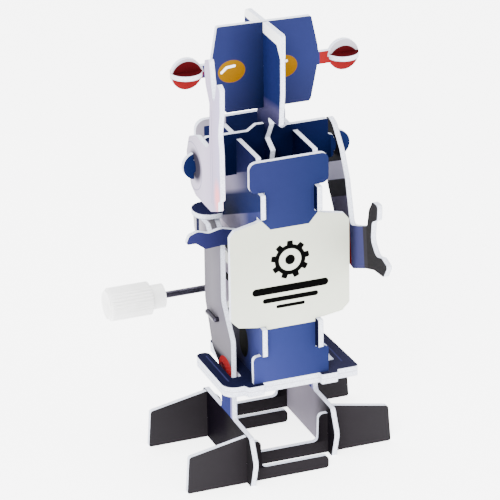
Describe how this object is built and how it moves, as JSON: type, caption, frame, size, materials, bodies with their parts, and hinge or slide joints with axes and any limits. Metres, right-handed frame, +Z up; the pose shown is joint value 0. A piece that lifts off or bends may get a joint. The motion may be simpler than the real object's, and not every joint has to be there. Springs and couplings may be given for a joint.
{
  "type": "clockwork walking robot kit",
  "caption": "Walking robot slotted together from flat printed foam boards, with two arms, two crank-driven legs and a clockwork motor wound by a ribbed knob on its side.",
  "frame": {"origin": "on the floor, on the robot's centre plane, under the middle of the right foot's front board", "axes": "+Z up; the robot faces -Y; +X is to the right of someone looking at its front, away from the winding knob"},
  "size_m": [0.098, 0.0907, 0.1726],
  "materials": {
    "blue_board": "printed foam board, satin",
    "navy_board": "printed foam board, satin",
    "white_board": "bare foam board, matte",
    "grey_board": "printed foam board, satin",
    "dark_board": "printed foam board, satin",
    "red_board": "printed foam board, satin",
    "case_plastic": "moulded, pale and slightly milky",
    "knob_plastic": "moulded, ribbed",
    "steel": "plain wire and turned steel",
    "brass": "cut gear brass"
  },
  "bodies": {
    "torso": {"front_panel": "blue_board", "back_panel": "blue_board", "left_rib": "navy_board", "right_rib": "navy_board", "shoulder_board": "blue_board", "base_upper": "navy_board", "base_lower": "white_board", "head_cross": "blue_board", "head_side": "navy_board", "left_ear_disc": "red_board", "right_ear_disc": "red_board", "case_left": "case_plastic", "case_right": "case_plastic", "case_screws": "steel"},
    "left_arm": {"left_arm": "grey_board"},
    "right_arm": {"right_arm": "grey_board"},
    "crank": {"crankshaft": "steel", "crank_pinion": "brass"},
    "left_leg": {"left_leg": "grey_board", "left_foot_front": "dark_board", "left_foot_rear": "dark_board", "left_hip_cap": "navy_board", "left_hip_plate": "grey_board", "left_hip_skirt": "blue_board"},
    "right_leg": {"right_leg": "grey_board", "right_foot_front": "dark_board", "right_foot_rear": "dark_board"},
    "winding": {"winding_shaft": "steel", "main_wheel": "brass", "mainspring": "steel", "winding_knob": "knob_plastic"},
    "middle": {"middle_arbor": "steel", "middle_wheel": "brass"},
    "governor": {"governor_arbor": "steel", "governor_rotor": "brass"}
  },
  "joints": [
    {"name": "left_shoulder", "type": "hinge", "parent": "torso", "child": "left_arm", "pos_m": [-0.0277, 0.0139, 0.1196], "axis": [1, 0, 0], "range_deg": [-10, 30]},
    {"name": "right_shoulder", "type": "hinge", "parent": "torso", "child": "right_arm", "pos_m": [0.0277, 0.0139, 0.1196], "axis": [1, 0, 0], "range_deg": [-80, 120]},
    {"name": "crank_turn", "type": "hinge", "parent": "torso", "child": "crank", "pos_m": [0, 0.0209, 0.0555], "axis": [1, 0, 0], "continuous": true},
    {"name": "left_leg_pin", "type": "hinge", "parent": "crank", "child": "left_leg", "pos_m": [-0.0187, 0.0149, 0.0555], "axis": [1, 0, 0], "continuous": true},
    {"name": "right_leg_pin", "type": "hinge", "parent": "crank", "child": "right_leg", "pos_m": [0.0187, 0.0269, 0.0555], "axis": [1, 0, 0], "continuous": true},
    {"name": "winding_turn", "type": "hinge", "parent": "torso", "child": "winding", "pos_m": [-0.032, 0.0419, 0.056], "axis": [1, 0, 0], "continuous": true},
    {"name": "middle_turn", "type": "hinge", "parent": "torso", "child": "middle", "pos_m": [0, 0.03123, 0.06298], "axis": [1, 0, 0], "continuous": true},
    {"name": "governor_turn", "type": "hinge", "parent": "torso", "child": "governor", "pos_m": [0, 0.02712, 0.07425], "axis": [1, 0, 0], "continuous": true}
  ],
  "couplings": [
    {"joint": "left_leg_pin", "follows": "crank_turn", "ratio": -1},
    {"joint": "right_leg_pin", "follows": "crank_turn", "ratio": -1},
    {"joint": "middle_turn", "follows": "crank_turn", "ratio": -0.54546},
    {"joint": "winding_turn", "follows": "crank_turn", "ratio": 0.22727},
    {"joint": "governor_turn", "follows": "crank_turn", "ratio": 1.2}
  ]
}
